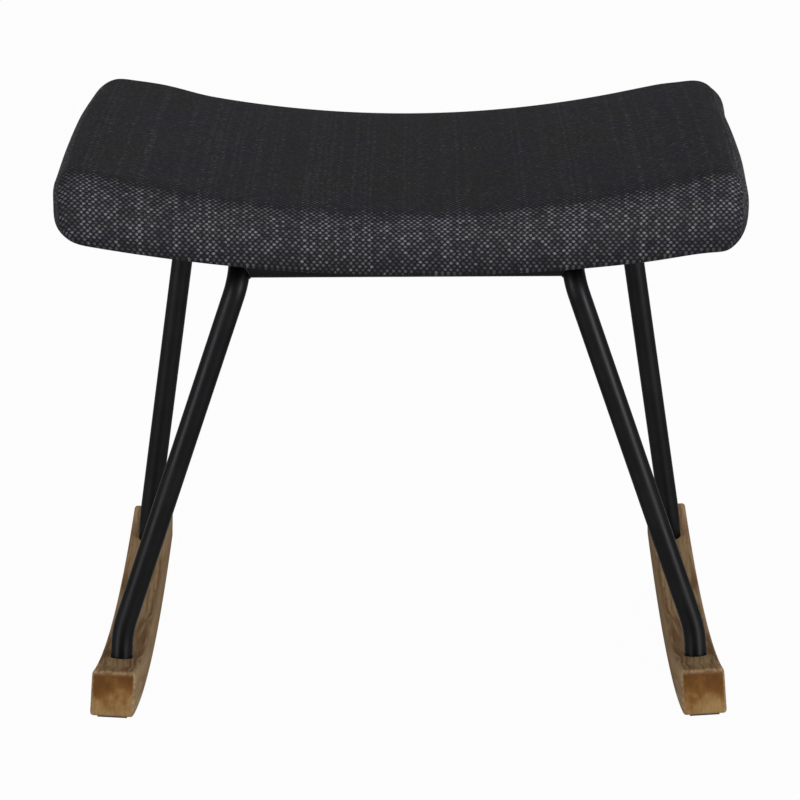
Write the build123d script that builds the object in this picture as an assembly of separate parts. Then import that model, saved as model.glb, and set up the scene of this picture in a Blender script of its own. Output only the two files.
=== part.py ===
from build123d import *
import math
import os

# Rocking footstool. Millimetres and degrees, +Z up, -Y to the front, origin on the floor at the middle.

# Rockers: a bar bent along a circle, leaned so that its top is nearer to the middle.
rocker_radius = 800.0
rocker_width = 37.0
rocker_thickness = 38.2
rocker_front_reach = 237.0
rocker_rear_reach = 215.0
rocker_spacing = 506.4
rocker_lean = 3.5
rocker_edge_radius = 3.0
rocker_end_round = 8.0

# Glide strips under the rockers, which are what the stool stands on.
strip_width = 25.0
strip_thickness = 1.5
strip_setback = 6.0

# Steel tube: the two side frames and the cross rails.
tube_diameter = 19.0
tube_wall = 1.5
foot_reach = 147.0
foot_socket_depth = 6.0
foot_straight = 12.0
foot_bend_radius = 80.0
leg_line_y = 125.0
front_leg_x = 136.2
rear_leg_x = 198.3
rail_height = 404.5
top_bend_radius = 30.0
cross_rail_share = 0.57
weld_gap = 0.05

# Seat board, foam and cover.
seat_width = 570.0
seat_depth = 388.0
board_thickness = 12.0
board_radius = 1600.0
board_corner_radius = 25.0
pad_thickness = 45.9
pad_top_radius = 1040.0
pad_crown = 7.0
pad_edge_run = 22.0
pad_top_edge = 23.0
pad_end_edge = 16.0
pad_bottom_edge = 4.0
pad_top_corner = 22.0
pad_bottom_corner = 28.0
cover_thickness = 1.2
hem_width = 30.0
lining_thickness = 0.8
lining_margin = 8.0

# Fasteners.
bolt_diameter = 6.0
bolt_clearance = 0.3
thread_clearance = 0.05
head_diameter = 11.0
head_height = 3.5
key_width = 4.0
key_depth = 2.0
mount_y = 80.0
front_spacer_height = 4.5
spacer_diameter = 22.0
saddle_diameter = 16.0
saddle_thickness = 1.5
tee_flange_diameter = 19.0
tee_flange_thickness = 1.2
tee_barrel_diameter = 8.0
tee_barrel_length = 8.5
bolt_end_gap = 1.0
counterbore_diameter = 15.0
counterbore_depth = 10.0
washer_diameter = 12.5
washer_thickness = 1.5
insert_gap = 2.0
hole_clearance = 0.3
staple_pitch = 45.0
staple_inset = 9.0
staple_width = 10.0
staple_wire = 1.0
staple_leg = 6.0
staple_gap = 0.05
hem_gap = 0.03

# Worked out from the sizes above.
tube_radius = tube_diameter / 2
bore_radius = tube_radius - tube_wall
bolt_hole_radius = bolt_diameter / 2 + bolt_clearance
thread_radius = bolt_diameter / 2 + thread_clearance
half_width = seat_width / 2
half_depth = seat_depth / 2
mount_share = (leg_line_y - mount_y) / (2 * leg_line_y)
front_mount_x = front_leg_x + mount_share * (rear_leg_x - front_leg_x)
board_half_x = half_width - pad_bottom_corner - cover_thickness
board_half_y = half_depth - pad_edge_run - cover_thickness
lean_drop = strip_width / 2 * math.sin(math.radians(rocker_lean))
floor_lift = lean_drop + strip_thickness * math.cos(math.radians(rocker_lean))
foot_angle = math.degrees(math.asin(foot_reach / (rocker_radius - rocker_thickness)))


def arc_rise(radius, x):
    """How far an upward-curving arc has climbed at the distance x from its lowest point."""
    return radius - math.sqrt(radius**2 - x**2)


board_bottom = rail_height + tube_radius + front_spacer_height - arc_rise(board_radius, front_mount_x)
board_top = board_bottom + board_thickness
pad_top = board_top + pad_thickness
pad_peak = pad_top + arc_rise(pad_top_radius, half_width)
lining_bottom = board_bottom - cover_thickness - lining_thickness

LEFT, RIGHT = -1, 1
FRONT, REAR = -1, 1
SIDES = {"left": LEFT, "right": RIGHT}


# Rockers and what is fixed to them.


def rocker_place(side):
    """Frame of one rocker: origin under the middle of its underside, X outwards along its width."""
    turn = Rot(0, -side * rocker_lean, 0)
    return Pos(side * rocker_spacing / 2, 0, floor_lift) * turn


def foot_place(side, end):
    """Frame of one foot: Z runs from the rocker's underside up along the tube."""
    angle = end * foot_angle
    swing = Pos(0, 0, rocker_radius) * Rot(angle, 0, 0) * Pos(0, 0, -rocker_radius)
    return rocker_place(side) * swing


def curved_profile(bottom, top, front_reach, rear_reach):
    """Side view of a bar along the rocker's curve, between two heights above the rocker's underside."""
    front = math.asin(front_reach / rocker_radius)
    rear = math.asin(rear_reach / rocker_radius)

    def on_curve(angle, height):
        radius = rocker_radius - height
        return (radius * math.sin(angle), rocker_radius - radius * math.cos(angle))

    middle = (rear - front) / 2
    corners = [on_curve(a, h) for h in (bottom, top) for a in (-front, middle, rear)]
    outline = Curve() + [
        ThreePointArc(*corners[0:3]),
        ThreePointArc(*corners[3:6]),
        Line(corners[0], corners[3]),
        Line(corners[2], corners[5]),
    ]
    return make_face(outline.edges())


def bar_of(profile, width):
    """Bar with the given side view, as wide as given."""
    return extrude(Plane.YZ * profile, width / 2, both=True)


def upright(radius, bottom, top):
    """Round bar along Z between two heights."""
    return Pos(0, 0, (bottom + top) / 2) * Cylinder(radius, top - bottom)


def foot_bores(end):
    """Socket, bolt hole and counterbore of one foot, in the rocker's own frame."""
    socket_floor = rocker_thickness - foot_socket_depth
    socket = upright(tube_radius + weld_gap, socket_floor, rocker_thickness + tube_diameter)
    hole = upright(bolt_hole_radius, 0, rocker_thickness)
    counterbore = upright(counterbore_diameter / 2, -counterbore_depth, counterbore_depth)
    swing = rocker_place(RIGHT).inverse() * foot_place(RIGHT, end)
    return swing * (socket + hole + counterbore)


def make_rocker(side):
    """Wooden rocker with rounded edges, rounder at the top of its ends, and the bores for both feet."""
    profile = curved_profile(0, rocker_thickness, rocker_front_reach, rocker_rear_reach)
    profile = fillet(profile.vertices().sort_by(Axis.Y)[-2:], rocker_end_round)
    profile = fillet(profile.vertices().sort_by(Axis.Y)[:2], rocker_edge_radius)
    bar = bar_of(profile, rocker_width)
    bar = fillet(bar.faces().filter_by(Axis.X).edges(), rocker_edge_radius)
    for end in (FRONT, REAR):
        bar -= foot_bores(end)
    return rocker_place(side) * bar


def make_glide_strip(side):
    """Strip under the rocker, punched where the rocker bolts go in."""
    reaches = (rocker_front_reach - strip_setback, rocker_rear_reach - strip_setback)
    strip = bar_of(curved_profile(-strip_thickness, 0, *reaches), strip_width)
    for end in (FRONT, REAR):
        strip -= foot_bores(end)
    return rocker_place(side) * strip


def socket_head_bolt(length):
    """Bolt with a low round head below Z=0 and its shank up to the given length."""
    head = upright(head_diameter / 2, -head_height, 0)
    head = fillet(head.edges().sort_by(Axis.Z)[0], head_height / 3)
    key = Pos(0, 0, -head_height) * extrude(RegularPolygon(key_width / 2, 6, major_radius=False), key_depth)
    return head + upright(bolt_diameter / 2, 0, length) - key


def at_feet(piece):
    """Group of the same piece at all four feet."""
    return Compound(children=[foot_place(s, e) * piece for s in (LEFT, RIGHT) for e in (FRONT, REAR)])


def make_rocker_washers():
    """Washers at the bottom of the counterbores."""
    ring = upright(washer_diameter / 2, counterbore_depth - washer_thickness, counterbore_depth)
    return at_feet(ring - upright(bolt_hole_radius, 0, rocker_thickness))


def insert_span():
    """Heights between which a threaded plug fills the foot of a tube."""
    bottom = rocker_thickness - foot_socket_depth
    return bottom, rocker_thickness + foot_straight - insert_gap


def make_leg_inserts():
    """Threaded plugs in the feet of the tubes."""
    bottom, top = insert_span()
    return at_feet(upright(bore_radius, bottom, top) - upright(thread_radius, bottom, top))


def make_rocker_bolts():
    """Bolts up through the rockers into the leg inserts."""
    seat = counterbore_depth - washer_thickness
    length = insert_span()[1] - bolt_end_gap - seat
    return at_feet(Pos(0, 0, seat) * socket_head_bolt(length))


# Steel frame.


def frame_points(side):
    """Corners of a side frame's centre line, from the front foot over the top to the rear foot."""
    tops = {FRONT: Vector(side * front_leg_x, -leg_line_y, rail_height)}
    tops[REAR] = Vector(side * rear_leg_x, leg_line_y, rail_height)
    points = []
    for end in (FRONT, REAR):
        place = foot_place(side, end)
        base = (place * Pos(0, 0, rocker_thickness)).position
        along = (place * Pos(0, 0, rocker_thickness + 1)).position - base
        turn = along.get_angle(tops[end] - base)
        bend = foot_straight + foot_bend_radius * math.tan(math.radians(turn / 2))
        low = (place * Pos(0, 0, rocker_thickness - foot_socket_depth)).position
        points.append([low, base + along * bend, tops[end]])
    return points[0] + points[1][::-1]


def frame_path(side):
    """Centre line of a side frame."""
    radii = [foot_bend_radius, top_bend_radius, top_bend_radius, foot_bend_radius]
    return FilletPolyline(*frame_points(side), radius=radii)


def tube_along(path, radius):
    """Solid round bar along a path."""
    start = Plane(origin=path @ 0, z_dir=path % 0)
    return sweep(start * Circle(radius), path=path)


def mount_points(side):
    """Points on a side rail's centre line, front then rear, where the seat is bolted on."""
    front, rear = frame_points(side)[2:4]
    return [front + (rear - front) * share for share in (mount_share, 1 - mount_share)]


def make_side_frame(side):
    """Front leg, side rail and rear leg, bent from one tube and drilled for the seat bolts."""
    path = frame_path(side)
    frame = tube_along(path, tube_radius) - tube_along(path, bore_radius)
    for point in mount_points(side):
        frame -= Pos(point) * Cylinder(bolt_hole_radius, 2 * tube_diameter)
    return frame


def make_cross_rail(end):
    """Straight tube between the bends of the side frames, shaped at its ends to meet them."""
    bends = frame_path(RIGHT).edges().filter_by(GeomType.CIRCLE).sort_by(Axis.Z)[-2:]
    bend = bends.sort_by(Axis.Y)[0 if end == FRONT else -1]
    rises = bend @ 0, bend @ 1
    share = cross_rail_share if rises[0].Z < rises[1].Z else 1 - cross_rail_share
    joint = bend @ share
    rail = Cylinder(tube_radius, 2 * joint.X) - Cylinder(bore_radius, 2 * joint.X)
    rail = Pos(0, joint.Y, joint.Z) * Rot(0, 90, 0) * rail
    for side in (LEFT, RIGHT):
        rail -= tube_along(frame_path(side), tube_radius + weld_gap)
    return rail


# Seat board and what bolts it to the frame.


def trough(drop):
    """Round bar across the seat whose lowest line is the board's underside, moved down by drop."""
    axis_height = board_bottom + board_radius
    return Pos(0, 0, axis_height) * Rot(90, 0, 0) * Cylinder(board_radius + drop, 2 * seat_depth)


def plan_block(trim, top):
    """Upright block from below the seat to a height, smaller all round than the board by the trim."""
    outline = RectangleRounded(2 * (board_half_x - trim), 2 * (board_half_y - trim), board_corner_radius)
    bottom = board_bottom - 2 * board_thickness
    return Pos(0, 0, bottom) * extrude(outline, top - bottom)


def curved_layer(top_drop, bottom_drop, trim=0):
    """Sheet that follows the board's underside between two distances below it."""
    layer = trough(bottom_drop) - trough(top_drop)
    return layer & plan_block(trim, pad_peak)


def board_top_at(x):
    """Height of the board's upper face at the distance x from the middle."""
    return board_top + arc_rise(board_radius - board_thickness, x)


def tee_nut_top(x):
    """Height of the top of a tee nut, level with the lowest side of its pocket."""
    return board_top_at(x - tee_flange_diameter / 2)


def all_mounts():
    """The four points where the seat is bolted to the side rails."""
    return [point for side in (LEFT, RIGHT) for point in mount_points(side)]


def stepped_pin(point, flange_radius, flange_top, barrel_radius, barrel_end):
    """Flange over a barrel, standing at a mount with the flange's lower face where tee nuts seat."""
    seat = tee_nut_top(abs(point.X)) - tee_flange_thickness
    pin = upright(flange_radius, seat, flange_top) + upright(barrel_radius, barrel_end, seat)
    return Pos(point.X, point.Y, 0) * pin


def tee_nut_room(point):
    """Pocket and hole for a tee nut, open to both faces of the board."""
    radii = tee_flange_diameter / 2 + hole_clearance, tee_barrel_diameter / 2 + hole_clearance
    return stepped_pin(point, radii[0], pad_peak, radii[1], lining_bottom)


def make_tee_nuts():
    """Flanged threaded sleeves, level with the lowest side of their pockets."""
    nuts = []
    for point in all_mounts():
        top = tee_nut_top(abs(point.X))
        end = top - tee_flange_thickness - tee_barrel_length
        nut = stepped_pin(point, tee_flange_diameter / 2, top, tee_barrel_diameter / 2, end)
        nuts.append(nut - Pos(point.X, point.Y, 0) * upright(thread_radius, end, top))
    return Compound(children=nuts)


def make_spacers(end):
    """Moulded blocks between the side rails and the underside of the board."""
    blocks = []
    for side in (LEFT, RIGHT):
        point = mount_points(side)[0 if end == FRONT else 1]
        block = upright(spacer_diameter / 2, rail_height, pad_top) - upright(bolt_hole_radius, 0, pad_top)
        block = Pos(point.X, point.Y, 0) * block
        blocks.append(block - trough(0) - tube_along(frame_path(side), tube_radius))
    return Compound(children=blocks)


def make_saddle_washers():
    """Washers between the bolt heads and the round underside of the rails."""
    washers = []
    seat = rail_height - tube_radius - saddle_thickness
    for side in (LEFT, RIGHT):
        for point in mount_points(side):
            ring = upright(saddle_diameter / 2, seat, rail_height - tube_radius / 2)
            ring = Pos(point.X, point.Y, 0) * (ring - upright(bolt_hole_radius, 0, rail_height))
            washers.append(ring - tube_along(frame_path(side), tube_radius))
    return Compound(children=washers)


def make_seat_bolts():
    """Four like bolts, as long as the lower pair of tee nuts allows."""
    seat = rail_height - tube_radius - saddle_thickness
    lowest = min(tee_nut_top(abs(point.X)) for point in all_mounts())
    bolt = socket_head_bolt(lowest - bolt_end_gap - seat)
    return Compound(children=[Pos(point.X, point.Y, seat) * bolt for point in all_mounts()])


# Staples round the underside.


def staple():
    """Wire staple with its back just below Z=0 and its legs upwards."""
    back = Pos(0, 0, -staple_wire / 2) * Box(staple_width, staple_wire, staple_wire)
    leg_length = cover_thickness + lining_thickness + staple_leg
    leg = Pos(0, 0, leg_length / 2) * Box(staple_wire, staple_wire, leg_length)
    offset = (staple_width - staple_wire) / 2
    return Pos(0, 0, -staple_gap) * (back + Pos(offset, 0, 0) * leg + Pos(-offset, 0, 0) * leg)


def spread(half_span):
    """Even places from one end of a row to the other, about a staple pitch apart."""
    count = max(1, round(2 * half_span / staple_pitch))
    return [half_span * (2 * i / count - 1) for i in range(count + 1)]


def under_seat(x, y, turn):
    """Frame on the lining's lower face, square to its slope."""
    tilt = math.degrees(math.asin(x / (board_bottom + board_radius - lining_bottom)))
    swing = Pos(0, y, board_bottom + board_radius) * Rot(0, -tilt, 0)
    return swing * Pos(0, 0, lining_bottom - board_bottom - board_radius) * Rot(0, 0, turn)


def make_staples():
    """Rows of staples along all four edges, through the lining and the hem into the board."""
    edge_x = board_half_x - lining_margin - staple_inset
    edge_y = board_half_y - lining_margin - staple_inset
    along_x = spread(edge_x - board_corner_radius)
    along_y = spread(edge_y - board_corner_radius)
    places = [under_seat(x, end * edge_y, 0) for end in (FRONT, REAR) for x in along_x]
    places += [under_seat(side * edge_x, y, 90) for side in (LEFT, RIGHT) for y in along_y]
    return Compound(children=[place * staple() for place in places])


# Pad and cover: a saddle across the seat, crowned from front to rear, with rounded edges.


def edge_stations():
    """Depths of the sections, each with the share of the edge rounding and of the crown that it has."""
    straight = half_depth - pad_edge_run
    stations = [(y * straight, 0.0) for y in (-0.75, -0.5, -0.25, 0, 0.25, 0.5, 0.75)]
    for angle in (0, 18, 36, 54, 72, 90):
        turn = math.radians(angle)
        y = straight + pad_edge_run * math.sin(turn)
        stations += [(end * y, 1 - math.cos(turn)) for end in (FRONT, REAR)]
    return sorted(stations)


def pad_section(y, share, skin):
    """Outline of the pad across the seat at one depth, a skin's thickness inside the cover's outer face."""
    half = half_width - share * pad_end_edge - skin
    fall = pad_crown * (y / half_depth) ** 2
    top = pad_top - fall - share * pad_top_edge - skin
    bottom = board_bottom - cover_thickness + share * pad_bottom_edge + skin
    low = bottom + arc_rise(board_radius, half)
    high = top + arc_rise(pad_top_radius, half)
    outline = Curve() + [
        ThreePointArc((-half, low), (0, bottom), (half, low)),
        Line((half, low), (half, high)),
        ThreePointArc((half, high), (0, top), (-half, high)),
        Line((-half, high), (-half, low)),
    ]
    shrink = min(1, (high - low) / (pad_peak - board_bottom - arc_rise(board_radius, half_width)))
    face = make_face(outline.edges())
    face = fillet(face.vertices().sort_by(Axis.Y)[:2], pad_bottom_corner * shrink)
    face = fillet(face.vertices().sort_by(Axis.Y)[-2:], pad_top_corner * shrink)
    return Pos(0, y, 0) * (Plane.XZ * face)


def pad_form(skin):
    """Whole pad, a skin's thickness inside the cover's outer face."""
    squeeze = (half_depth - skin) / half_depth
    return loft([pad_section(y * squeeze, share, skin) for y, share in edge_stations()], ruled=True)


def make_cover(inner):
    """Skin over the pad, turned under the board all round as a hem."""
    opening = plan_block(hem_width, (board_bottom + pad_top) / 2)
    return pad_form(0) - inner - opening


def make_lining():
    """Dust cover over the hem, with a hole for each spacer."""
    lining = curved_layer(cover_thickness, cover_thickness + lining_thickness, lining_margin)
    for point in all_mounts():
        hole = upright(spacer_diameter / 2 + hole_clearance, rail_height, pad_top)
        lining -= Pos(point.X, point.Y, 0) * hole
    return lining


def make_board():
    """Moulded plywood board with a pocket and a hole for each tee nut."""
    board = curved_layer(-board_thickness, -hem_gap)
    for point in all_mounts():
        board -= tee_nut_room(point)
    return board


def make_seat():
    """Board, foam, cover, lining and staples, with room for the staples' legs."""
    inner = pad_form(cover_thickness)
    staples = make_staples()
    return {
        "seat_board": make_board() - staples,
        "seat_foam": inner - curved_layer(-board_thickness, cover_thickness),
        "seat_cover": make_cover(inner) - staples,
        "dust_cover": make_lining() - staples,
        "cover_staples": staples,
    }


def make_parts():
    """Every piece of the stool by its node's name."""
    parts = make_seat()
    for name, side in SIDES.items():
        parts[name + "_rocker"] = make_rocker(side)
        parts[name + "_glide_strip"] = make_glide_strip(side)
        parts[name + "_side_frame"] = make_side_frame(side)
    parts["front_cross_rail"] = make_cross_rail(FRONT)
    parts["rear_cross_rail"] = make_cross_rail(REAR)
    parts["front_seat_spacers"] = make_spacers(FRONT)
    parts["rear_seat_spacers"] = make_spacers(REAR)
    parts["saddle_washers"] = make_saddle_washers()
    parts["seat_bolts"] = make_seat_bolts()
    parts["tee_nuts"] = make_tee_nuts()
    parts["leg_inserts"] = make_leg_inserts()
    parts["rocker_bolts"] = make_rocker_bolts()
    parts["rocker_washers"] = make_rocker_washers()
    return parts


os.makedirs("parts", exist_ok=True)
for node, shape in make_parts().items():
    export_step(shape, "parts/" + node + ".step")
    box = shape.bounding_box()
    print(node, len(shape.solids()), round(shape.volume), box.min, box.max)
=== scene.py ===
"""Looks of the rocking footstool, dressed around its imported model.

A saddle seat in charcoal basket weave stands on a black tube frame and two
oiled hardwood rockers. Everything is in metres, +Z up, with the front at -Y.
"""

import logging
import math
from dataclasses import dataclass, field
from enum import Enum
from typing import Any, Callable, Union

import bmesh
import bpy
import numpy as np
from mathutils import Matrix, Vector


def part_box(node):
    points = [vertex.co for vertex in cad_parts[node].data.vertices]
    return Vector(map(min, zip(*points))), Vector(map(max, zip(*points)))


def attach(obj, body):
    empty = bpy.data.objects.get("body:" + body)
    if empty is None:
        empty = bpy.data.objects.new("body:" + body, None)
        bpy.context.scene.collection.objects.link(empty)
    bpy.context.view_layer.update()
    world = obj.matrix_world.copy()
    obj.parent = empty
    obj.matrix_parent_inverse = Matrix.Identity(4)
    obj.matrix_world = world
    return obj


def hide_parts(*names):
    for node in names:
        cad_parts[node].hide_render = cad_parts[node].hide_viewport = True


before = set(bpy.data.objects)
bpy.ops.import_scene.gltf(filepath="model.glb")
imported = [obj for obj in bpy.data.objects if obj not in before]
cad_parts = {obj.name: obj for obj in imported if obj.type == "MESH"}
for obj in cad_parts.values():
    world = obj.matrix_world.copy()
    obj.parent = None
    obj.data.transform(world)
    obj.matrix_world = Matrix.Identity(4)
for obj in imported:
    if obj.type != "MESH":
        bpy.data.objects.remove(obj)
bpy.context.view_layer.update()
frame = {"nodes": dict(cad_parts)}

log = logging.getLogger("footstool")

BODY = "root"
FULL_TURN = 2.0 * math.pi
QUARTER = math.pi / 2
TINY = 1e-9
WHITE = (1.0, 1.0, 1.0)

Number = Union["Field", float]
Colour = tuple[float, float, float]
Point = tuple[float, float, float]
Span = tuple[float, float]
Curve = tuple[float, ...]


# Small helpers for meshes and materials


def configure(target: Any, **settings: Any) -> Any:
    """Set several properties of one Blender item.

    Args:
        target: The item.
        settings: The values, by the name of the property.

    Returns:
        The same item.
    """
    for key, value in settings.items():
        setattr(target, key, value)
    return target


def put_in_scene(name: str, data: bpy.types.ID) -> bpy.types.Object:
    """Make an object of a mesh, a light or a camera, and link it to the scene.

    Args:
        name: Name of the object.
        data: What it shows.

    Returns:
        The new object.
    """
    obj = bpy.data.objects.new(name, data)
    bpy.context.scene.collection.objects.link(obj)
    return obj


def make_object(name: str, verts: np.ndarray, faces: np.ndarray) -> bpy.types.Object:
    """Make a smooth-shaded mesh object in the scene.

    Args:
        name: Name of the object and of its mesh.
        verts: One row of x, y, z in metres for each vertex.
        faces: One row of vertex numbers for each face.

    Returns:
        The new object.
    """
    mesh = bpy.data.meshes.new(name)
    mesh.from_pydata(verts.tolist(), [], faces.tolist())
    mesh.validate()
    mesh.shade_smooth()
    return put_in_scene(name, mesh)


def quads(number: np.ndarray) -> np.ndarray:
    """Faces between the neighbours in a grid of vertex numbers, one row of four for each."""
    corners = number[:-1, :-1], number[1:, :-1], number[1:, 1:], number[:-1, 1:]
    return np.stack(corners, axis=-1).reshape(-1, 4)


def read_vectors(items: Any, key: str) -> np.ndarray:
    """Read one vector from each item of a mesh.

    Args:
        items: The mesh's vertices or normals.
        key: Name of the vector.

    Returns:
        One row of x, y, z for each item.
    """
    out = np.empty(len(items) * 3)
    items.foreach_get(key, out)
    return out.reshape(-1, 3)


def positions(obj: bpy.types.Object) -> np.ndarray:
    """Read an object's vertices, one row of x, y, z for each."""
    return read_vectors(obj.data.vertices, "co")


def set_positions(obj: bpy.types.Object, verts: np.ndarray) -> None:
    """Write an object's vertices, one row of x, y, z for each."""
    obj.data.vertices.foreach_set("co", verts.ravel())
    obj.data.update()


def normals(obj: bpy.types.Object) -> np.ndarray:
    """Read an object's vertex normals, one row of x, y, z for each."""
    return read_vectors(obj.data.vertex_normals, "vector")


def store_vectors(obj: bpy.types.Object, name: str, values: np.ndarray) -> None:
    """Keep one vector for each vertex on an object, for its material to read by name."""
    attribute = obj.data.attributes.new(name, "FLOAT_VECTOR", "POINT")
    attribute.data.foreach_set("vector", values.ravel())


def apply_modifier(obj: bpy.types.Object, kind: str, **settings: Any) -> None:
    """Reshape an object with one modifier and keep the result.

    Args:
        obj: The mesh object.
        kind: Blender's name for the modifier type.
        settings: Properties to set on it.
    """
    mod = configure(obj.modifiers.new("reshape", kind), **settings)
    with bpy.context.temp_override(object=obj, active_object=obj, selected_objects=[obj]):
        bpy.ops.object.modifier_apply(modifier=mod.name)


def edit_mesh(obj: bpy.types.Object, change: Callable[[bmesh.types.BMesh], None]) -> None:
    """Change an object's mesh through a working copy.

    Args:
        obj: The mesh object.
        change: What is done to the working copy.
    """
    work = bmesh.new()
    work.from_mesh(obj.data)
    change(work)
    work.to_mesh(obj.data)
    work.free()


def drop_loose(work: bmesh.types.BMesh) -> None:
    """Remove the points that no face uses."""
    bmesh.ops.delete(work, geom=[v for v in work.verts if not v.link_faces], context="VERTS")


def face_outwards(work: bmesh.types.BMesh) -> None:
    """Turn every face of a closed mesh outwards."""
    bmesh.ops.recalc_face_normals(work, faces=work.faces[:])


def to_share(values: np.ndarray) -> np.ndarray:
    """Limit values to a share from 0 to 1."""
    return np.clip(values, 0.0, 1.0)


def smooth_step(values: np.ndarray, start: float, end: float) -> np.ndarray:
    """Rise smoothly from 0 at start to 1 at end."""
    t = to_share((values - start) / (end - start))
    return t * t * (3.0 - 2.0 * t)


def rise(radius: float, x: Union[float, np.ndarray]) -> Union[float, np.ndarray]:
    """Height of an arc above its lowest point, at a distance from its middle."""
    return radius - np.sqrt(radius * radius - x * x)


@dataclass(frozen=True)
class Field:
    """A number that varies over a surface, with the sums that a weave or a grain is written in."""

    graph: "Graph"
    socket: bpy.types.NodeSocket

    def _math(self, operation: str, *others: Number) -> "Field":
        """Feed this field and others to one Math node."""
        return self.graph.math(operation, self, *others)

    def __add__(self, other: Number) -> "Field":
        """Add."""
        return self._math("ADD", other)

    def __sub__(self, other: Number) -> "Field":
        """Subtract."""
        return self._math("SUBTRACT", other)

    def __rsub__(self, other: float) -> "Field":
        """Subtract from a plain number."""
        return self.graph.math("SUBTRACT", other, self)

    def __mul__(self, other: Number) -> "Field":
        """Multiply."""
        return self._math("MULTIPLY", other)

    def __truediv__(self, other: Number) -> "Field":
        """Divide."""
        return self._math("DIVIDE", other)

    def __pow__(self, other: Number) -> "Field":
        """Raise to a power."""
        return self._math("POWER", other)

    def __abs__(self) -> "Field":
        """Drop the sign."""
        return self._math("ABSOLUTE")

    def floor(self) -> "Field":
        """Round down."""
        return self._math("FLOOR")

    def fract(self) -> "Field":
        """Keep the part after the decimal point."""
        return self._math("FRACT")

    def modulo(self, other: Number) -> "Field":
        """Keep the remainder, never negative."""
        return self._math("FLOORED_MODULO", other)

    def most(self, other: Number) -> "Field":
        """Take the larger."""
        return self._math("MAXIMUM", other)

    def step(self, start: float, end: float, low: float = 0.0, high: float = 1.0) -> "Field":
        """Pass smoothly from low at start to high at end.

        Args:
            start: Value at which the result leaves low.
            end: Value at which the result reaches high.
            low: Result at start.
            high: Result at end.

        Returns:
            The eased field.
        """
        if start > end:
            start, end, low, high = end, start, high, low
        inputs = {"Value": self, "From Min": start, "From Max": end, "To Min": low, "To Max": high}
        node = self.graph.node("ShaderNodeMapRange", inputs, interpolation_type="SMOOTHSTEP")
        return Field(self.graph, node.outputs["Result"])


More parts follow.
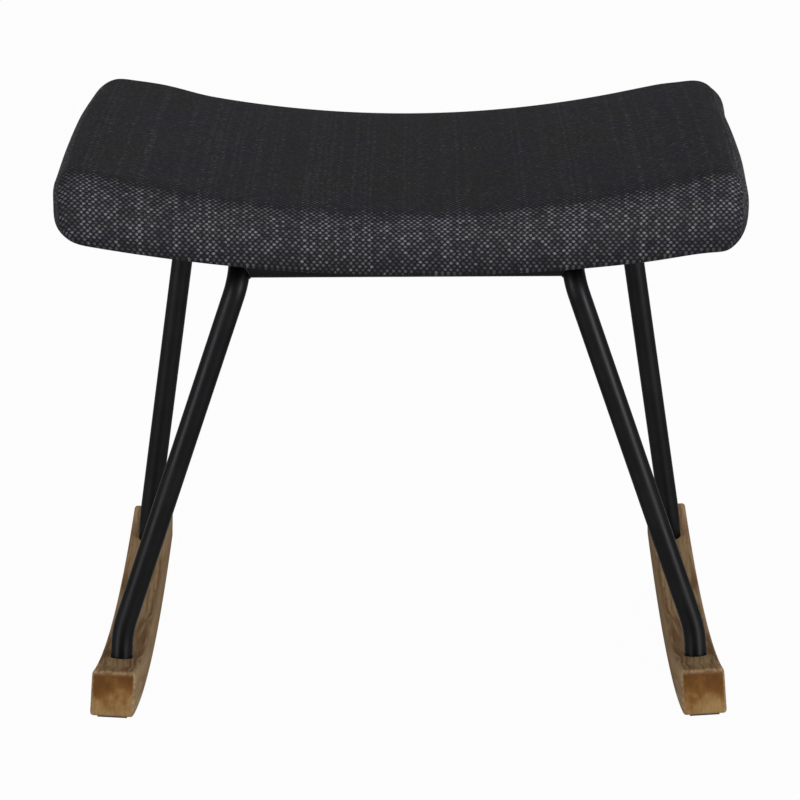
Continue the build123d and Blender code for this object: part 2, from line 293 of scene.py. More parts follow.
class Graph:
    """The node tree of one material or world, with short calls for the nodes that it uses."""

    # Numbers of a Mix node's colour sockets, whose names it has more than once
    MIX_SHARE, MIX_FIRST, MIX_SECOND, MIX_RESULT = 0, 6, 7, 2

    def __init__(self, name: str, world: bpy.types.World | None = None) -> None:
        """Start an empty material, or empty a world's nodes.

        Args:
            name: Name of the material.
            world: The world to work on instead.
        """
        self.owner = world or bpy.data.materials.new(name)
        self.owner.use_nodes = True
        self.tree = self.owner.node_tree
        self.tree.nodes.clear()

    def node(self, kind: str, inputs: dict[Any, Any] | None = None, **settings: Any) -> bpy.types.Node:
        """Add a node and feed it.

        Args:
            kind: Blender's name for the node type.
            inputs: Values, fields or sockets, by the name or number of the input.
            settings: Properties to set on the node.

        Returns:
            The new node.
        """
        node = configure(self.tree.nodes.new(kind), **settings)
        for key, value in (inputs or {}).items():
            self.feed(value, node.inputs[key])
        return node

    def feed(self, value: Any, target: bpy.types.NodeSocket) -> None:
        """Link a field or a socket to an input, or set a plain value on it.

        Args:
            value: The field, socket, number or colour.
            target: The input.
        """
        if isinstance(value, Field):
            value = value.socket
        if isinstance(value, bpy.types.NodeSocket):
            self.tree.links.new(value, target)
        elif target.type == "RGBA":
            target.default_value = (*value, 1.0)
        else:
            target.default_value = value

    def math(self, operation: str, *values: Number) -> Field:
        """Feed numbers or fields to a Math node, in order."""
        node = self.node("ShaderNodeMath", dict(enumerate(values)), operation=operation)
        return Field(self, node.outputs[0])

    def combine(self, x: Number, y: Number, z: Number) -> bpy.types.NodeSocket:
        """Make a vector of three numbers."""
        return self.node("ShaderNodeCombineXYZ", {0: x, 1: y, 2: z}).outputs[0]

    def separate(self, vector: bpy.types.NodeSocket) -> tuple[Field, Field, Field]:
        """Split a vector in three numbers."""
        node = self.node("ShaderNodeSeparateXYZ", {0: vector})
        return tuple(Field(self, out) for out in node.outputs)

    def place(self) -> bpy.types.NodeSocket:
        """Give the surface point in the part's own frame, in metres."""
        return self.node("ShaderNodeTexCoord").outputs["Object"]

    def facing(self) -> tuple[Field, Field, Field]:
        """Give the surface normal in the part's own frame."""
        return self.separate(self.node("ShaderNodeTexCoord").outputs["Normal"])

    def noise(self, vector: bpy.types.NodeSocket, scale: float, detail: float = 2.0,
              roughness: float = 0.5) -> Field:
        """Add a noise texture.

        Args:
            vector: Where it is read.
            scale: Bumps in a metre, roughly.
            detail: How many finer layers it has.
            roughness: How strong the finer layers are.

        Returns:
            The noise, near 0.5 on average.
        """
        inputs = {"Vector": vector, "Scale": scale, "Detail": detail, "Roughness": roughness}
        return Field(self, self.node("ShaderNodeTexNoise", inputs).outputs["Fac"])

    def chance(self, x: Number, y: Number, draw: float) -> Field:
        """Give a fixed random number from 0 to 1 for each whole x and y, another at each draw."""
        vector = self.combine(x, y, draw)
        node = self.node("ShaderNodeTexWhiteNoise", {"Vector": vector}, noise_dimensions="3D")
        return Field(self, node.outputs["Value"])

    def mix(self, share: Number, first: Any, second: Any) -> bpy.types.NodeSocket:
        """Mix two colours: share 0 gives the first, 1 the second."""
        inputs = {self.MIX_SHARE: share, self.MIX_FIRST: first, self.MIX_SECOND: second}
        node = self.node("ShaderNodeMix", inputs, data_type="RGBA", clamp_factor=True)
        return node.outputs[self.MIX_RESULT]

    def scale_colour(self, colour: bpy.types.NodeSocket, factor: Number) -> bpy.types.NodeSocket:
        """Make a colour lighter or darker by a factor."""
        node = self.node("ShaderNodeVectorMath", {0: colour, "Scale": factor}, operation="SCALE")
        return node.outputs[0]

    def bump(self, height: Field, distance: float, strength: float) -> bpy.types.NodeSocket:
        """Turn a height from 0 to 1 into relief of a distance in metres, kept at a strength."""
        inputs = {"Distance": distance, "Strength": strength, "Height": height}
        return self.node("ShaderNodeBump", inputs).outputs["Normal"]

    def surface(self, **inputs: Any) -> bpy.types.Material:
        """Close the graph with one Principled shader, whose inputs are named with _ for a space."""
        named = {key.replace("_", " "): value for key, value in inputs.items()}
        return self.close(self.node("ShaderNodeBsdfPrincipled", named))

    def close(self, last: bpy.types.Node, output: str = "ShaderNodeOutputMaterial") -> Any:
        """Send the last node to the output, and give the finished material or world."""
        self.node(output, {"Surface": last.outputs[0]})
        return self.owner


# Finishes


@dataclass(frozen=True)
class Mottle:
    """Soft random spots: noise by scale, detail and roughness, and the curve that eases it."""

    noise: Curve
    curve: Curve

    def over(self, g: Graph, vector: bpy.types.NodeSocket) -> Field:
        """Read the spots at a vector."""
        return g.noise(vector, *self.noise).step(*self.curve)


@dataclass(frozen=True)
class BasketWeave:
    """Charcoal melange upholstery cloth: near-black ground with staggered, paler, domed floats."""

    name: str = "charcoal basket weave"
    float_pitch: float = 0.005
    row_pitch: float = 0.00255
    float_share: float = 0.325
    row_share: float = 0.51
    dome: Curve = (1.25, 0.0)
    least_light: float = 0.25
    light_spread: float = 0.85
    bright: Curve = (0.895, 0.905, 1.0, 1.8)
    wander: float = 0.0022
    wander_noise: Curve = (14.0,)
    fray_across: float = 0.0008
    fray_down: float = 0.0005
    fray_noise: Curve = (420.0, 1.0)
    strand: Curve = (0.6, 1.0, 0.76, 1.5)
    slub_squeeze: float = 7.0
    slub: Mottle = Mottle((50.0, 3.0), (0.35, 0.7, 0.85, 1.15))
    patch: Mottle = Mottle((15.0, 3.0), (0.3, 0.7, 0.88, 1.12))
    threads: Mottle = Mottle((620.0, 1.0), (0.4, 0.7, 0.0, 0.075))
    # Painted shade on the top: where the cloth faces up, its floats are blended towards a dimmer, even
    # paleness
    facing_up: Curve = (0.75, 0.97)
    calm: float = 0.68
    mean_light: float = 0.14
    tint: Mottle = Mottle((22.0, 2.0), (0.42, 0.62))
    ground: Mottle = Mottle((900.0, 2.0), (0.3, 0.7, 0.7, 1.4))
    ground_shade: float = 0.5
    lint: float = 0.25
    lint_noise: Curve = (1500.0, 2.0)
    relief: float = 0.0006
    relief_strength: float = 0.6
    dark: Colour = (0.0126, 0.0119, 0.0160)
    dark_green: Colour = (0.0136, 0.0136, 0.0136)
    pale: Colour = (0.166, 0.163, 0.176)
    roughness: float = 0.95
    specular: float = 0.03

    def build(self) -> bpy.types.Material:
        """Make the material, which reads the cloth's own coordinates.

        Returns:
            The material.
        """
        g = Graph(self.name)
        cloth = g.node("ShaderNodeAttribute", attribute_name="cloth").outputs["Vector"]
        # The third value, tone, is the painted shade from the seat pad
        u, v, tone = g.separate(cloth)
        wander_u = g.noise(cloth, *self.wander_noise) - 0.5
        wander_v = g.noise(g.combine(v, u, 3.0), *self.wander_noise) - 0.5
        fray = g.noise(cloth, *self.fray_noise) - 0.5
        across = (u + wander_u * self.wander + fray * self.fray_across) / self.float_pitch
        down = (v + wander_v * self.wander + fray * self.fray_down) / self.row_pitch
        floats, dome = self.row_of_floats(g, across, down, 0.0)
        for offset in (-1.0, 1.0):
            beside, beside_dome = self.row_of_floats(g, across, down, offset)
            floats = floats.most(beside)
            dome = dome.most(beside_dome)

        strand = g.chance((across * 2.0).floor(), 0.0, 7.0).step(*self.strand)
        slub = self.slub.over(g, g.combine(u, v * self.slub_squeeze, 0.0))
        light = floats * strand * slub * self.patch.over(g, cloth) + self.threads.over(g, cloth)
        # Painted shade: upward-facing cloth is made darker and calmer
        painted_shade_on_top = g.facing()[2].step(*self.facing_up) * self.calm
        light = light * (1.0 - painted_shade_on_top) + painted_shade_on_top * self.mean_light

        ground = g.mix(self.tint.over(g, cloth), self.dark, self.dark_green)
        # Painted shade darkens the ground as well as the floats
        shade = tone * self.ground_shade + (1.0 - self.ground_shade)
        ground = g.scale_colour(ground, self.ground.over(g, cloth) * shade)
        height = dome + g.noise(cloth, *self.lint_noise) * self.lint
        return g.surface(
            Base_Color=g.mix(light * tone, ground, self.pale),
            Roughness=self.roughness,
            Specular_IOR_Level=self.specular,
            Normal=g.bump(height, self.relief, self.relief_strength),
        )

    def row_of_floats(self, g: Graph, across: Field, down: Field, offset: float) -> tuple[Field, Field]:
        """Draw one row of floats near each point.

        Args:
            g: The material's graph.
            across: Distance along the rows, in floats.
            down: Distance across the rows, in rows.
            offset: Which row: 0 for the point's own, -1 or 1 for a neighbour.

        Returns:
            How pale the floats are there, and how high they stand.
        """
        row = down.floor() + offset
        shifted = across + row.modulo(2.0) * 0.5
        column = shifted.floor()
        x = shifted.fract() - 0.5
        y = down - row - 0.5
        reach = (x / self.float_share) ** 2.0 + (y / self.row_share) ** 2.0
        dome = reach.step(*self.dome)
        own = g.chance(column, row, 1.0) * self.light_spread + self.least_light
        return dome * own * g.chance(column, row, 2.0).step(*self.bright), dome


@dataclass(frozen=True)
class PowderCoat:
    """Satin black powder coat on steel tube, with a faint orange peel."""

    name: str = "satin black powder coat"
    colour: Colour = (0.0105, 0.0105, 0.0112)
    dusty: Colour = (0.0130, 0.0130, 0.0136)
    edge_tint: Colour = (0.55, 0.55, 0.55)
    peel_noise: Curve = (900.0, 2.0)
    grain_noise: Curve = (4200.0, 1.0)
    dust_noise: Curve = (30.0, 4.0, 0.6)
    dust_tone: Curve = (0.35, 0.75)
    dust_gloss: Curve = (0.3, 0.7, 0.34, 0.45)
    grain_gloss: float = 0.05
    grain_height: float = 0.4
    relief: float = 0.00006
    relief_strength: float = 0.6

    def build(self) -> bpy.types.Material:
        """Make the material.

        Returns:
            The material.
        """
        g = Graph(self.name)
        place = g.place()
        peel = g.noise(place, *self.peel_noise)
        grain = g.noise(place, *self.grain_noise)
        dust = g.noise(place, *self.dust_noise)
        return g.surface(
            Base_Color=g.mix(dust.step(*self.dust_tone), self.colour, self.dusty),
            Roughness=dust.step(*self.dust_gloss) + grain * self.grain_gloss,
            Metallic=1.0,
            Specular_Tint=self.edge_tint,
            Normal=g.bump(peel + grain * self.grain_height, self.relief, self.relief_strength),
        )


@dataclass(frozen=True)
class OiledHardwood:
    """Oiled hardwood whose grain follows the rocker's curve, with honey to dark brown end grain.

    A squeeze is the share of the length along the grain at which a noise is read.
    """

    name: str = "oiled hardwood"
    curve_radius: float = 0.8
    bar_height: float = 0.0397
    tan: Colour = (0.430, 0.294, 0.164)
    brown: Colour = (0.210, 0.119, 0.058)
    reddish: Colour = (0.205, 0.092, 0.042)
    pore: Colour = (0.085, 0.048, 0.025)
    olive: Colour = (0.262, 0.198, 0.125)
    end_honey: Colour = (0.268, 0.166, 0.070)
    end_brown: Colour = (0.160, 0.074, 0.022)
    end_dark: Colour = (0.100, 0.043, 0.014)
    end_grey: Colour = (0.125, 0.072, 0.040)
    facing_ahead: Curve = (0.3, 0.8)
    not_aside: Curve = (0.25, 0.7, 1.0, 0.0)
    # Painted shade: faces turned aside are darkened and greyed towards olive
    facing_aside: Curve = (0.3, 0.9)
    painted_side_olive: float = 0.45
    side_shade: float = 0.1
    end_relief: float = 0.4
    gloss: Curve = (0.2, 0.8, 0.5, 0.64)
    relief: float = 0.00025
    relief_strength: float = 0.7
    drift: float = 0.012
    drift_noise: Curve = (14.0, 1.0)
    fine_squeeze: float = 0.03
    fine_noise: Curve = (850.0, 3.0, 0.6)
    fine: Curve = (0.32, 0.68, 0.0, 0.3)
    fine_height: float = 0.6
    band_squeeze: float = 0.04
    band: Mottle = Mottle((300.0,), (0.38, 0.62, 0.0, 0.6))
    broad_squeeze: float = 0.2
    broad: Mottle = Mottle((62.0,), (0.38, 0.62, 0.0, 0.3))
    tan_share: float = 0.1
    red_shift: float = 0.3
    red_squeeze: float = 0.06
    red: Mottle = Mottle((300.0,), (0.54, 0.68, 0.0, 0.6))
    pore_squeeze: float = 0.07
    pores: Mottle = Mottle((1700.0, 1.0), (0.62, 0.72))
    pore_tone: float = 0.55
    pore_depth: float = 0.5
    blotch: float = 1.3
    blotch_noise: Curve = (62.0,)
    cloud: float = 0.6
    cloud_squeeze: float = 0.018
    cloud_noise: Curve = (190.0, 3.0, 0.6)
    to_brown: Curve = (0.06, 0.62)
    to_dark: Curve = (0.45, 0.95, 0.0, 0.85)
    to_grey: Curve = (0.85, 1.02, 0.0, 0.5)
    streak_squeeze: float = 0.1
    streak_height: float = 0.003
    streak_noise: Curve = (900.0, 2.0, 0.6)
    streak: Curve = (0.42, 0.72)
    streak_strength: Curve = (0.8, 0.1, 0.2, 0.6)
    streak_shade: float = 0.62

    def build(self) -> bpy.types.Material:
        """Make the material.

        Returns:
            The material.
        """
        g = Graph(self.name)
        place = g.place()
        x, y, z = g.separate(place)
        side = abs(x)
        above = self.curve_radius - z
        height = self.curve_radius - g.math("SQRT", y * y + above * above)
        along = g.math("ARCTAN2", y, above) * self.curve_radius
        tilt, ahead, _ = g.facing()
        end_face = abs(ahead).step(*self.facing_ahead) * abs(tilt).step(*self.not_aside)
        body, fibre = self.long_grain(g, side, along, height)
        # Painted shade on the faces turned aside: darker and olive-grey, as less light falls on them
        beside = abs(tilt).step(*self.facing_aside)
        body_with_painted_side_shade = g.scale_colour(body, 1.0 - beside * self.side_shade)
        body = g.mix(beside * self.painted_side_olive, body_with_painted_side_shade, self.olive)
        end, streak = self.end_grain(g, place, side, y, height / self.bar_height)
        relief = fibre + streak * end_face * self.end_relief
        return g.surface(
            Base_Color=g.mix(end_face, body, end),
            Roughness=fibre.step(*self.gloss),
            Specular_IOR_Level=0.0,
            Normal=g.bump(relief, self.relief, self.relief_strength),
        )

    def long_grain(self, g: Graph, side: Field, along: Field,
                   height: Field) -> tuple[bpy.types.NodeSocket, Field]:
        """Streaks and pores that run along the bar.

        Args:
            g: The material's graph.
            side: Distance across the bar.
            along: Distance along its curve.
            height: Distance up from its underside.

        Returns:
            The colour and the relief.
        """
        across = side + g.noise(g.combine(side, along, height), *self.drift_noise) * self.drift
        fine = g.noise(g.combine(across, along * self.fine_squeeze, height), *self.fine_noise)
        band = self.band.over(g, g.combine(across, along * self.band_squeeze, height))
        broad = self.broad.over(g, g.combine(across, along * self.broad_squeeze, height))
        tone = fine.step(*self.fine) + band + broad - self.tan_share
        red = self.red.over(g, g.combine(across + self.red_shift, along * self.red_squeeze, height))
        colour = g.mix(red, g.mix(tone, self.tan, self.brown), self.reddish)
        pores = self.pores.over(g, g.combine(across, along * self.pore_squeeze, height))
        relief = fine * self.fine_height - pores * self.pore_depth
        return g.mix(pores * self.pore_tone, colour, self.pore), relief

    def end_grain(self, g: Graph, place: bpy.types.NodeSocket, side: Field, y: Field,
                  share: Field) -> tuple[bpy.types.NodeSocket, Field]:
        """Honey at the bottom of the sawn end, darkening softly to its top.

        Args:
            g: The material's graph.
            place: The surface point.
            side: Distance across the bar.
            y: Distance to the rear.
            share: Height as a share of the bar's.

        Returns:
            The colour and the fine upright streaks.
        """
        blotch = g.noise(place, *self.blotch_noise) - 0.5
        cloud = g.noise(g.combine(side, y, share * self.cloud_squeeze), *self.cloud_noise) - 0.5
        level = share + blotch * self.blotch + cloud * self.cloud
        colour = g.mix(level.step(*self.to_brown), self.end_honey, self.end_brown)
        colour = g.mix(level.step(*self.to_dark), colour, self.end_dark)
        colour = g.mix(share.step(*self.to_grey), colour, self.end_grey)
        upright = g.combine(side, y * self.streak_squeeze, share * self.streak_height)
        streak = g.noise(upright, *self.streak_noise)
        strength = streak.step(*self.streak) * share.step(*self.streak_strength)
        return g.mix(strength, colour, g.scale_colour(colour, self.streak_shade)), streak


@dataclass(frozen=True)
class PlainFinish:
    """A quiet finish for small and hidden pieces: one tone with mottling, grain and relief."""

    name: str
    colour: Colour
    roughness: float
    metallic: float = 0.0
    relief: float = 0.00003
    relief_strength: float = 0.7
    grain_noise: Curve = (600.0, 3.0, 0.6)
    grain_span: Span = (0.3, 0.7)
    cloud_noise: Curve = (60.0, 3.0)
    cloud_share: float = 0.6
    mottle: float = 0.25
    smoother: float = 0.05
    rougher: float = 0.08

    def build(self) -> bpy.types.Material:
        """Make the material.

        Returns:
            The material.
        """
        g = Graph(self.name)
        place = g.place()
        grain = g.noise(place, *self.grain_noise)
        cloud = g.noise(place, *self.cloud_noise)
        low, high = (tuple(c * (1.0 + way * self.mottle) for c in self.colour) for way in (-1.0, 1.0))
        gloss = (self.roughness - self.smoother, self.roughness + self.rougher)
        return g.surface(
            Base_Color=g.mix(cloud * self.cloud_share + grain * (1.0 - self.cloud_share), low, high),
            Roughness=grain.step(*self.grain_span, *gloss),
            Metallic=self.metallic,
            Normal=g.bump(grain, self.relief, self.relief_strength),
        )


@dataclass(frozen=True)
class Plywood:
    """Birch plywood: long pale figure on the faces and thin plies on the edge."""

    name: str = "birch plywood"
    ply: float = 0.0012
    curve_radius: float = 1.6
    pale: Colour = (0.52, 0.37, 0.22)
    figured: Colour = (0.42, 0.28, 0.15)
    dark: Colour = (0.30, 0.19, 0.10)
    along: float = 0.6
    across: float = 9.0
    figure_noise: Curve = (26.0, 4.0, 0.6)
    figure: Curve = (0.3, 0.75)
    on_edge: Curve = (0.7, 0.3)
    roughness: float = 0.6
    relief: float = 0.0001
    relief_strength: float = 0.5

    def build(self) -> bpy.types.Material:
        """Make the material.

        Returns:
            The material.
        """
        g = Graph(self.name)
        x, y, z = g.separate(g.place())
        stretched = g.combine(x * self.along, y * self.across, z * self.across)
        figure = g.noise(stretched, *self.figure_noise)
        layer = ((z - x * x / (2.0 * self.curve_radius)) / self.ply).floor().modulo(2.0)
        edge = abs(g.facing()[2]).step(*self.on_edge)
        tone = g.mix(figure.step(*self.figure), self.pale, self.figured)
        return g.surface(
            Base_Color=g.mix(layer * edge, tone, self.dark),
            Roughness=self.roughness,
            Normal=g.bump(figure, self.relief, self.relief_strength),
        )


class Finish(Enum):
    """The record's material slots that show, each with the finish that it wears."""

    SEAT_FABRIC = BasketWeave()
    PLYWOOD = Plywood()
    LINING = PlainFinish("black non-woven lining", (0.018, 0.018, 0.019), 0.9, relief=0.0002)
    ZINC_STEEL = PlainFinish("zinc plated steel", (0.55, 0.55, 0.53), 0.34, metallic=1.0)
    BLACK_FASTENER = PlainFinish("black oxide", (0.02, 0.02, 0.021), 0.4, metallic=0.6)
    BLACK_PLASTIC = PlainFinish("moulded nylon", (0.016, 0.016, 0.017), 0.5)
    BLACK_STEEL = PowderCoat()
    ROCKER_WOOD = OiledHardwood()
    GLIDE_STRIP = PlainFinish("dark felt strip", (0.028, 0.026, 0.024), 0.95, relief=0.0003)

    @property
    def slot(self) -> str:
        """Name of the record's material slot."""
        return self.name.lower()


class Wardrobe:
    """Makes each finish once and puts it on pieces."""

    def __init__(self) -> None:
        """Start with no material made."""
        self.made: dict[Finish, bpy.types.Material] = {}

    def dress(self, obj: bpy.types.Object, finish: Finish) -> None:
        """Put one finish over the whole of a piece, and make its material on first use.

        Args:
            obj: The piece.
            finish: The finish.
        """
        if finish not in self.made:
            self.made[finish] = finish.value.build()
        obj.data.materials.clear()
        obj.data.materials.append(self.made[finish])
        log.info("%s: %s", obj.name, finish.value.name)

    def place_piece(self, obj: bpy.types.Object, finish: Finish) -> None:
        """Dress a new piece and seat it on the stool.

        Args:
            obj: The piece.
            finish: The finish.
        """
        self.dress(obj, finish)
        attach(obj, BODY)


# Seat


@dataclass(frozen=True)
class Tug:
    """A place where the stuffed cover is pulled or pushed a few millimetres."""

    at: Point
    reach: Point
    pull: Point

    def moved(self, verts: np.ndarray) -> np.ndarray:
        """Move points by a share of the pull, which falls off to nothing at its reach."""
        away = np.linalg.norm((verts - np.array(self.at)) / np.array(self.reach), axis=1)
        return verts + smooth_step(away, 1.0, 0.0)[:, None] * np.array(self.pull)


@dataclass
class SeatPad:
    """Saddle-shaped pad in its cover: crowned from front to rear, round at its edges."""

    half_width: float
    half_depth: float
    base_height: float
    thickness: float = 0.0591
    base_radius: float = 1.6
    top_radius: float = 1.04
    crown: float = 0.007
    edge_run: float = 0.022
    top_edge: float = 0.023
    end_edge: float = 0.016
    bottom_edge: float = 0.004
    top_corner: float = 0.022
    bottom_corner: float = 0.028
    corner_length: float = 0.042
    end_length: float = 0.03
    grid: float = 0.0065
    slack: float = 0.0002

    # How the stuffing swells the cover
    pressure: float = 4.0
    most_swell: float = 0.0015
    frames: int = 20
    held_height: float = 0.004
    held_facing: float = 0.9

    # How a used seat leans, bows and is tucked under
    shift: float = -0.0032
    end_push: float = 0.0022
    end_bulge: float = 0.0032
    end_power: int = 6
    lean: float = -0.0016
    lean_radius: float = 1.3
    lean_run: float = 0.03
    edge_lean: float = -0.0049
    edge_drop: float = 0.0003
    middle_drop: float = 0.0021
    edge_height: float = 0.0195
    edge_fade: float = 0.02
    front_from: float = 0.165
    tuck: float = 0.003
    tuck_height: float = 0.015

    # How the cloth lies on the pad, and where painted shade dims its pale floats
    row_tilt: float = 0.038
    row_curve: float = 0.15
    end_from: float = 0.2
    end_run: float = 0.3
    pale: float = 0.91
    hem_shade: float = 0.48
    hem_height: float = 0.032
    top_shade: float = 0.2
    top_facing: Span = (0.75, 0.97)
    rim_shade: float = 0.23
    rim_rise: Span = (0.68, 0.85)
    rim_fall: Span = (0.99, 0.87)

    fill: float = 0.92
    tugs: tuple[Tug, ...] = (
        Tug((-0.285, 0.194, 0.5), (0.09, 0.15, 0.045), (0.004, 0.0, -0.0025)),
        Tug((0.285, 0.194, 0.5), (0.09, 0.15, 0.045), (0.0015, 0.0, -0.0014)),
        Tug((0.285, 0.12, 0.488), (0.05, 0.06, 0.04), (0.003, 0.0, 0.0022)),
        Tug((0.285, -0.194, 0.49), (0.07, 0.12, 0.04), (-0.003, 0.0, 0.0)),
        Tug((0.285, -0.194, 0.445), (0.06, 0.12, 0.035), (-0.0013, 0.0, -0.0035)),
        Tug((0.235, -0.194, 0.44), (0.06, 0.06, 0.03), (0.0023, 0.0, 0.0026)),
        Tug((0.262, 0.194, 0.5), (0.035, 0.12, 0.03), (0.0, 0.0, -0.003)),
        Tug((-0.225, 0.194, 0.49), (0.05, 0.12, 0.03), (0.0, 0.0, 0.0028)),
        Tug((-0.285, 0.15, 0.478), (0.03, 0.1, 0.025), (-0.0026, 0.0, 0.0)),
    )

    @classmethod
    def on_frame(cls) -> "SeatPad":
        """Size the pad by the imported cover."""
        low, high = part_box("seat_cover")
        return cls(half_width=high.x, half_depth=high.y, base_height=low.z)

    @property
    def peak_height(self) -> float:
        """Height of the lowest point of the pad's top."""
        return self.base_height + self.thickness

    def floor(self, x: Union[float, np.ndarray]) -> Union[float, np.ndarray]:
        """Height of the pad's underside, at a distance from its middle."""
        return self.base_height + rise(self.base_radius, x)

    def outline(self, depth: float, share: float) -> np.ndarray:
        """Closed outline of the pad across the seat, from the top left corner clockwise.

        Args:
            depth: Distance from the middle, along Y.
            share: Share of the edge rounding, 0 inside and 1 on the front and rear face.

        Returns:
            One row of x, z for each point.
        """
        half = self.half_width - share * self.end_edge - self.slack
        fall = self.crown * (depth / self.half_depth) ** 2
        top = self.peak_height - fall - share * self.top_edge - self.slack
        base = self.base_height + share * self.bottom_edge + self.slack
        side = top + rise(self.top_radius, half) - base - rise(self.base_radius, half)
        full = self.peak_height + rise(self.top_radius, self.half_width) - self.floor(self.half_width)
        shrink = min(1.0, side / full)
        r_top, r_base = self.top_corner * shrink, self.bottom_corner * shrink

        x_top, z_top = self.corner_centre(half, top, self.top_radius, -r_top)
        x_base, z_base = self.corner_centre(half, base, self.base_radius, r_base)
        turn_top = math.asin(x_top / (self.top_radius + r_top))
        turn_base = math.asin(x_base / (self.base_radius - r_base))
        along, corner, end = self.counts()
        top_arc = (0.0, top + self.top_radius, self.top_radius)
        base_arc = (0.0, base + self.base_radius, self.base_radius)
        return np.concatenate([
            self.bend(*top_arc, -turn_top - QUARTER, turn_top - QUARTER, along),
            self.bend(x_top, z_top, r_top, QUARTER + turn_top, 0.0, corner),
            self.wall(half, z_top, z_base, end),
            self.bend(x_base, z_base, r_base, 0.0, turn_base - QUARTER, corner),
            self.bend(*base_arc, turn_base - QUARTER, -turn_base - QUARTER, along),
            self.bend(-x_base, z_base, r_base, -QUARTER - turn_base, -math.pi, corner),
            self.wall(-half, z_base, z_top, end),
            self.bend(-x_top, z_top, r_top, math.pi, QUARTER - turn_top, corner),
        ])

    @staticmethod
    def corner_centre(half: float, level: float, radius: float, corner: float) -> Span:
        """Centre of the round between an arc and the vertical end.

        Args:
            half: Where the vertical end is.
            level: Height of the arc's lowest point.
            radius: Radius of the arc.
            corner: Radius of the round, below zero under the arc.

        Returns:
            The centre's x and z.
        """
        x = half - abs(corner)
        reach = radius - corner
        return x, level + radius - math.sqrt(reach * reach - x * x)

    @staticmethod
    def bend(x: float, z: float, radius: float, start: float, end: float, steps: int) -> np.ndarray:
        """Points of a round about x, z, from one angle up to but not at another."""
        angles = np.linspace(start, end, steps + 1)[:-1]
        return np.stack([x + radius * np.cos(angles), z + radius * np.sin(angles)], 1)

    @staticmethod
    def wall(x: float, start: float, end: float, steps: int) -> np.ndarray:
        """Points of an upright line at x, from one height up to but not at another."""
        heights = np.linspace(start, end, steps + 1)[:-1]
        return np.stack([np.full(steps, x), heights], 1)

    def counts(self) -> tuple[int, int, int]:
        """How many steps the outline takes along the top, round a corner and down an end."""
        along = 2 * round((self.half_width - self.top_corner) / self.grid)
        return along, round(self.corner_length / self.grid), round(self.end_length / self.grid)

    def stations(self) -> list[Span]:
        """Place the outlines from the front to the rear.

        Returns:
            The depth of each, and its share of the edge rounding.
        """
        straight = self.half_depth - self.edge_run
        steps = 2 * round(straight / self.grid)
        middle = [(y, 0.0) for y in np.linspace(-straight, straight, steps + 1)]
        bends = max(3, round(self.edge_run * QUARTER / self.grid))
        turns = [QUARTER * k / bends for k in range(1, bends + 1)]
        edge = [(straight + self.edge_run * math.sin(t), 1.0 - math.cos(t)) for t in turns]
        return [(-y, s) for y, s in reversed(edge)] + middle + edge

    def base_mesh(self) -> tuple[np.ndarray, np.ndarray]:
        """Closed grid of the pad, slightly smaller than the finished one.

        Returns:
            The points and the faces.
        """
        squeeze = (self.half_depth - self.slack) / self.half_depth
        rings = [np.insert(self.outline(depth, share), 1, depth * squeeze, axis=1)
                 for depth, share in self.stations()]
        number = np.arange(len(rings) * len(rings[0])).reshape(len(rings), -1)
        skin = quads(np.pad(number, ((0, 0), (0, 1)), mode="wrap"))
        verts, faces = list(rings), [skin[:, [0, 3, 2, 1]]]
        count = number.size
        for end in (0, -1):
            inner, cap = self.cap(rings[end], number[end], count)
            verts.append(inner)
            faces.append(cap[:, ::-1] if end else cap)
            count += len(inner)
        return np.concatenate(verts), np.concatenate(faces)

    def cap(self, ring: np.ndarray, ids: np.ndarray, count: int) -> tuple[np.ndarray, np.ndarray]:
        """Grid over the front or rear face, inside one outline.

        Args:
            ring: The outline's points.
            ids: Their vertex numbers.
            count: Number that the next new point gets.

        Returns:
            The new points, and the faces, which look to the front.
        """
        along, corner, end = self.counts()
        deep = 2 * corner + end
        order = np.append(np.arange(len(ring)), 0)
        spot = np.zeros((deep + 1, along + 1), int)
        spot[0] = order[:along + 1]
        spot[:, along] = order[along:along + deep + 1]
        spot[deep, ::-1] = order[along + deep:2 * along + deep + 1]
        spot[::-1, 0] = order[2 * along + deep:]

        at = ring[spot]
        s = (np.arange(along + 1) / along)[None, :, None]
        t = (np.arange(deep + 1) / deep)[:, None, None]
        grid = ((1 - t) * at[:1] + t * at[-1:] + (1 - s) * at[:, :1] + s * at[:, -1:]
                - (1 - s) * (1 - t) * at[0, 0] - s * (1 - t) * at[0, -1]
                - (1 - s) * t * at[-1, 0] - s * t * at[-1, -1])
        number = ids[spot]
        new = number[1:-1, 1:-1]
        new[:] = count + np.arange(new.size).reshape(new.shape)
        return grid[1:-1, 1:-1].reshape(-1, 3), quads(number)

    def swell(self, obj: bpy.types.Object) -> None:
        """Blow the cover up from inside, with its underside held, and keep a little of it.

        Args:
            obj: The cover.
        """
        start = positions(obj)
        low = start[:, 2] < self.floor(start[:, 0]) + self.held_height
        flat = np.abs(normals(obj)[:, 2]) > self.held_facing
        held = obj.vertex_groups.new(name="held")
        held.add(np.nonzero(low & flat)[0].tolist(), 1.0, "REPLACE")
        mod = obj.modifiers.new("stuffing", "CLOTH")
        configure(mod.settings, quality=5, mass=0.35, tension_stiffness=20.0, compression_stiffness=20.0,
                  shear_stiffness=8.0, bending_stiffness=1.5, use_pressure=True,
                  uniform_pressure_force=self.pressure, vertex_group_mass=held.name)
        mod.settings.effector_weights.gravity = 0.0
        configure(mod.point_cache, frame_start=1, frame_end=self.frames)
        scene = bpy.context.scene
        for number in range(1, self.frames + 1):
            scene.frame_set(number)
        shaped = obj.evaluated_get(bpy.context.evaluated_depsgraph_get())
        moved = read_vectors(shaped.data.vertices, "co") - start
        obj.modifiers.remove(mod)
        scene.frame_set(1)
        length = np.linalg.norm(moved, axis=1)
        log.info("stuffing moved the cover by %.1f mm at most", 1000 * length.max())
        keep = np.minimum(1.0, self.most_swell / np.maximum(length, TINY))
        set_positions(obj, start + moved * keep[:, None])
        obj.vertex_groups.clear()

